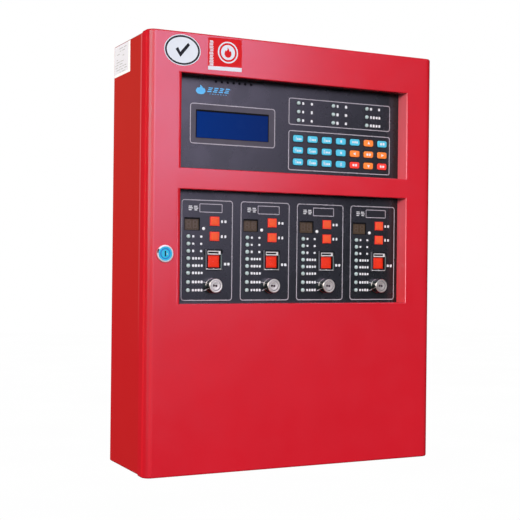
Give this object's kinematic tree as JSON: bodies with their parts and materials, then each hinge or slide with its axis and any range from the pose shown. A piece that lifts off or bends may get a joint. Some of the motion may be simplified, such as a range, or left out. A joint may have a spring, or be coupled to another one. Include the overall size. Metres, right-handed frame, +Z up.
{
  "type": "fire alarm control panel",
  "caption": "Wall-mounted red steel fire alarm cabinet with a hinged, locking door that carries an LCD, a keypad and zone modules with guarded buttons and key switches.",
  "frame": {"origin": "on the wall, at the centre of the cabinet's back face", "axes": "+X to the right as seen by someone who faces the door, +Y into the wall, +Z up"},
  "size_m": [0.38, 0.1225, 0.5007],
  "materials": {
    "red_paint": "semi-gloss powder coat",
    "panel_black": "fine matt overlay",
    "black_plastic": "satin",
    "nickel_plate": "brushed nickel plate",
    "zinc_steel": "zinc plated",
    "lock_blue": "satin",
    "orange_button": "satin",
    "release_red": "satin",
    "clear_plastic": "clear, glossy",
    "smoked_display": "smoked, glossy",
    "lcd_blue": "glossy",
    "keypad_blue": "matt silicone",
    "circuit_board": "solder mask",
    "terminal_green": "moulded",
    "battery_grey": "moulded",
    "rubber_black": "matt",
    "harness_black": "braided sleeve"
  },
  "bodies": {
    "cabinet": {"cabinet_body": "red_paint", "hinge_leaf_body_upper": "zinc_steel", "hinge_leaf_body_lower": "zinc_steel", "hinge_pin_upper": "zinc_steel", "hinge_pin_lower": "zinc_steel", "chassis_plate": "zinc_steel", "main_board": "circuit_board", "power_supply": "zinc_steel", "terminal_block": "terminal_green", "battery_left": "battery_grey", "battery_right": "battery_grey", "battery_strap": "zinc_steel", "cable_grommet_left": "rubber_black", "cable_grommet_right": "rubber_black", "door_harness": "harness_black"},
    "door": {"door_panel": "red_paint", "hinge_leaf_door_upper": "zinc_steel", "hinge_leaf_door_lower": "zinc_steel", "upper_faceplate": "panel_black", "lower_faceplate": "panel_black", "lcd_module": "lcd_blue", "keypad_mat": "keypad_blue", "display_board": "circuit_board", "zone_board": "circuit_board", "door_lock_body": "nickel_plate", "door_lock_nut": "zinc_steel", "zone_1_display": "smoked_display", "zone_1_release_frame": "black_plastic", "zone_1_mode_switch": "nickel_plate", "zone_2_display": "smoked_display", "zone_2_release_frame": "black_plastic", "zone_2_mode_switch": "nickel_plate", "zone_3_display": "smoked_display", "zone_3_release_frame": "black_plastic", "zone_3_mode_switch": "nickel_plate", "zone_4_display": "smoked_display", "zone_4_release_frame": "black_plastic", "zone_4_mode_switch": "nickel_plate"},
    "door_lock": {"door_lock_plug": "lock_blue", "door_lock_cam": "zinc_steel"},
    "zone_1_sounder": {"zone_1_sounder_button": "orange_button"},
    "zone_1_stop": {"zone_1_stop_button": "orange_button"},
    "zone_1_release": {"zone_1_release_button": "release_red"},
    "zone_1_cover": {"zone_1_release_cover": "clear_plastic"},
    "zone_1_mode": {"zone_1_mode_plug": "nickel_plate"},
    "zone_2_sounder": {"zone_2_sounder_button": "orange_button"},
    "zone_2_stop": {"zone_2_stop_button": "orange_button"},
    "zone_2_release": {"zone_2_release_button": "release_red"},
    "zone_2_cover": {"zone_2_release_cover": "clear_plastic"},
    "zone_2_mode": {"zone_2_mode_plug": "nickel_plate"},
    "zone_3_sounder": {"zone_3_sounder_button": "orange_button"},
    "zone_3_stop": {"zone_3_stop_button": "orange_button"},
    "zone_3_release": {"zone_3_release_button": "release_red"},
    "zone_3_cover": {"zone_3_release_cover": "clear_plastic"},
    "zone_3_mode": {"zone_3_mode_plug": "nickel_plate"},
    "zone_4_sounder": {"zone_4_sounder_button": "orange_button"},
    "zone_4_stop": {"zone_4_stop_button": "orange_button"},
    "zone_4_release": {"zone_4_release_button": "release_red"},
    "zone_4_cover": {"zone_4_release_cover": "clear_plastic"},
    "zone_4_mode": {"zone_4_mode_plug": "nickel_plate"}
  },
  "joints": [
    {"name": "door_hinge", "type": "hinge", "parent": "cabinet", "child": "door", "pos_m": [0.1848, -0.11, 0], "axis": [0, 0, 1], "range_deg": [0, 115], "deforming": ["door_harness"]},
    {"name": "door_lock_turn", "type": "hinge", "parent": "door", "child": "door_lock", "pos_m": [-0.168, -0.12, 0], "axis": [0, 1, 0], "range_deg": [0, 90]},
    {"name": "zone_1_sounder_press", "type": "slide", "parent": "door", "child": "zone_1_sounder", "axis": [0, 1, 0], "range_m": [0, 0.0008], "stiffness_N_per_m": 600, "springref_m": -0.0008},
    {"name": "zone_1_stop_press", "type": "slide", "parent": "door", "child": "zone_1_stop", "axis": [0, 1, 0], "range_m": [0, 0.0008], "stiffness_N_per_m": 600, "springref_m": -0.0008},
    {"name": "zone_1_release_press", "type": "slide", "parent": "door", "child": "zone_1_release", "axis": [0, 1, 0], "range_m": [0, 0.003], "stiffness_N_per_m": 500, "springref_m": -0.002},
    {"name": "zone_1_cover_hinge", "type": "hinge", "parent": "door", "child": "zone_1_cover", "pos_m": [-0.1003, -0.1046, 0.0036], "axis": [-1, 0, 0], "range_deg": [0, 110]},
    {"name": "zone_1_mode_turn", "type": "hinge", "parent": "door", "child": "zone_1_mode", "pos_m": [-0.1008, -0.1106, -0.036], "axis": [0, 1, 0], "range_deg": [-30, 30]},
    {"name": "zone_2_sounder_press", "type": "slide", "parent": "door", "child": "zone_2_sounder", "axis": [0, 1, 0], "range_m": [0, 0.0008], "stiffness_N_per_m": 600, "springref_m": -0.0008},
    {"name": "zone_2_stop_press", "type": "slide", "parent": "door", "child": "zone_2_stop", "axis": [0, 1, 0], "range_m": [0, 0.0008], "stiffness_N_per_m": 600, "springref_m": -0.0008},
    {"name": "zone_2_release_press", "type": "slide", "parent": "door", "child": "zone_2_release", "axis": [0, 1, 0], "range_m": [0, 0.003], "stiffness_N_per_m": 500, "springref_m": -0.002},
    {"name": "zone_2_cover_hinge", "type": "hinge", "parent": "door", "child": "zone_2_cover", "pos_m": [-0.02565, -0.1046, 0.0036], "axis": [-1, 0, 0], "range_deg": [0, 110]},
    {"name": "zone_2_mode_turn", "type": "hinge", "parent": "door", "child": "zone_2_mode", "pos_m": [-0.02615, -0.1106, -0.036], "axis": [0, 1, 0], "range_deg": [-30, 30]},
    {"name": "zone_3_sounder_press", "type": "slide", "parent": "door", "child": "zone_3_sounder", "axis": [0, 1, 0], "range_m": [0, 0.0008], "stiffness_N_per_m": 600, "springref_m": -0.0008},
    {"name": "zone_3_stop_press", "type": "slide", "parent": "door", "child": "zone_3_stop", "axis": [0, 1, 0], "range_m": [0, 0.0008], "stiffness_N_per_m": 600, "springref_m": -0.0008},
    {"name": "zone_3_release_press", "type": "slide", "parent": "door", "child": "zone_3_release", "axis": [0, 1, 0], "range_m": [0, 0.003], "stiffness_N_per_m": 500, "springref_m": -0.002},
    {"name": "zone_3_cover_hinge", "type": "hinge", "parent": "door", "child": "zone_3_cover", "pos_m": [0.049, -0.1046, 0.0036], "axis": [-1, 0, 0], "range_deg": [0, 110]},
    {"name": "zone_3_mode_turn", "type": "hinge", "parent": "door", "child": "zone_3_mode", "pos_m": [0.0485, -0.1106, -0.036], "axis": [0, 1, 0], "range_deg": [-30, 30]},
    {"name": "zone_4_sounder_press", "type": "slide", "parent": "door", "child": "zone_4_sounder", "axis": [0, 1, 0], "range_m": [0, 0.0008], "stiffness_N_per_m": 600, "springref_m": -0.0008},
    {"name": "zone_4_stop_press", "type": "slide", "parent": "door", "child": "zone_4_stop", "axis": [0, 1, 0], "range_m": [0, 0.0008], "stiffness_N_per_m": 600, "springref_m": -0.0008},
    {"name": "zone_4_release_press", "type": "slide", "parent": "door", "child": "zone_4_release", "axis": [0, 1, 0], "range_m": [0, 0.003], "stiffness_N_per_m": 500, "springref_m": -0.002},
    {"name": "zone_4_cover_hinge", "type": "hinge", "parent": "door", "child": "zone_4_cover", "pos_m": [0.12365, -0.1046, 0.0036], "axis": [-1, 0, 0], "range_deg": [0, 110]},
    {"name": "zone_4_mode_turn", "type": "hinge", "parent": "door", "child": "zone_4_mode", "pos_m": [0.12315, -0.1106, -0.036], "axis": [0, 1, 0], "range_deg": [-30, 30]}
  ]
}
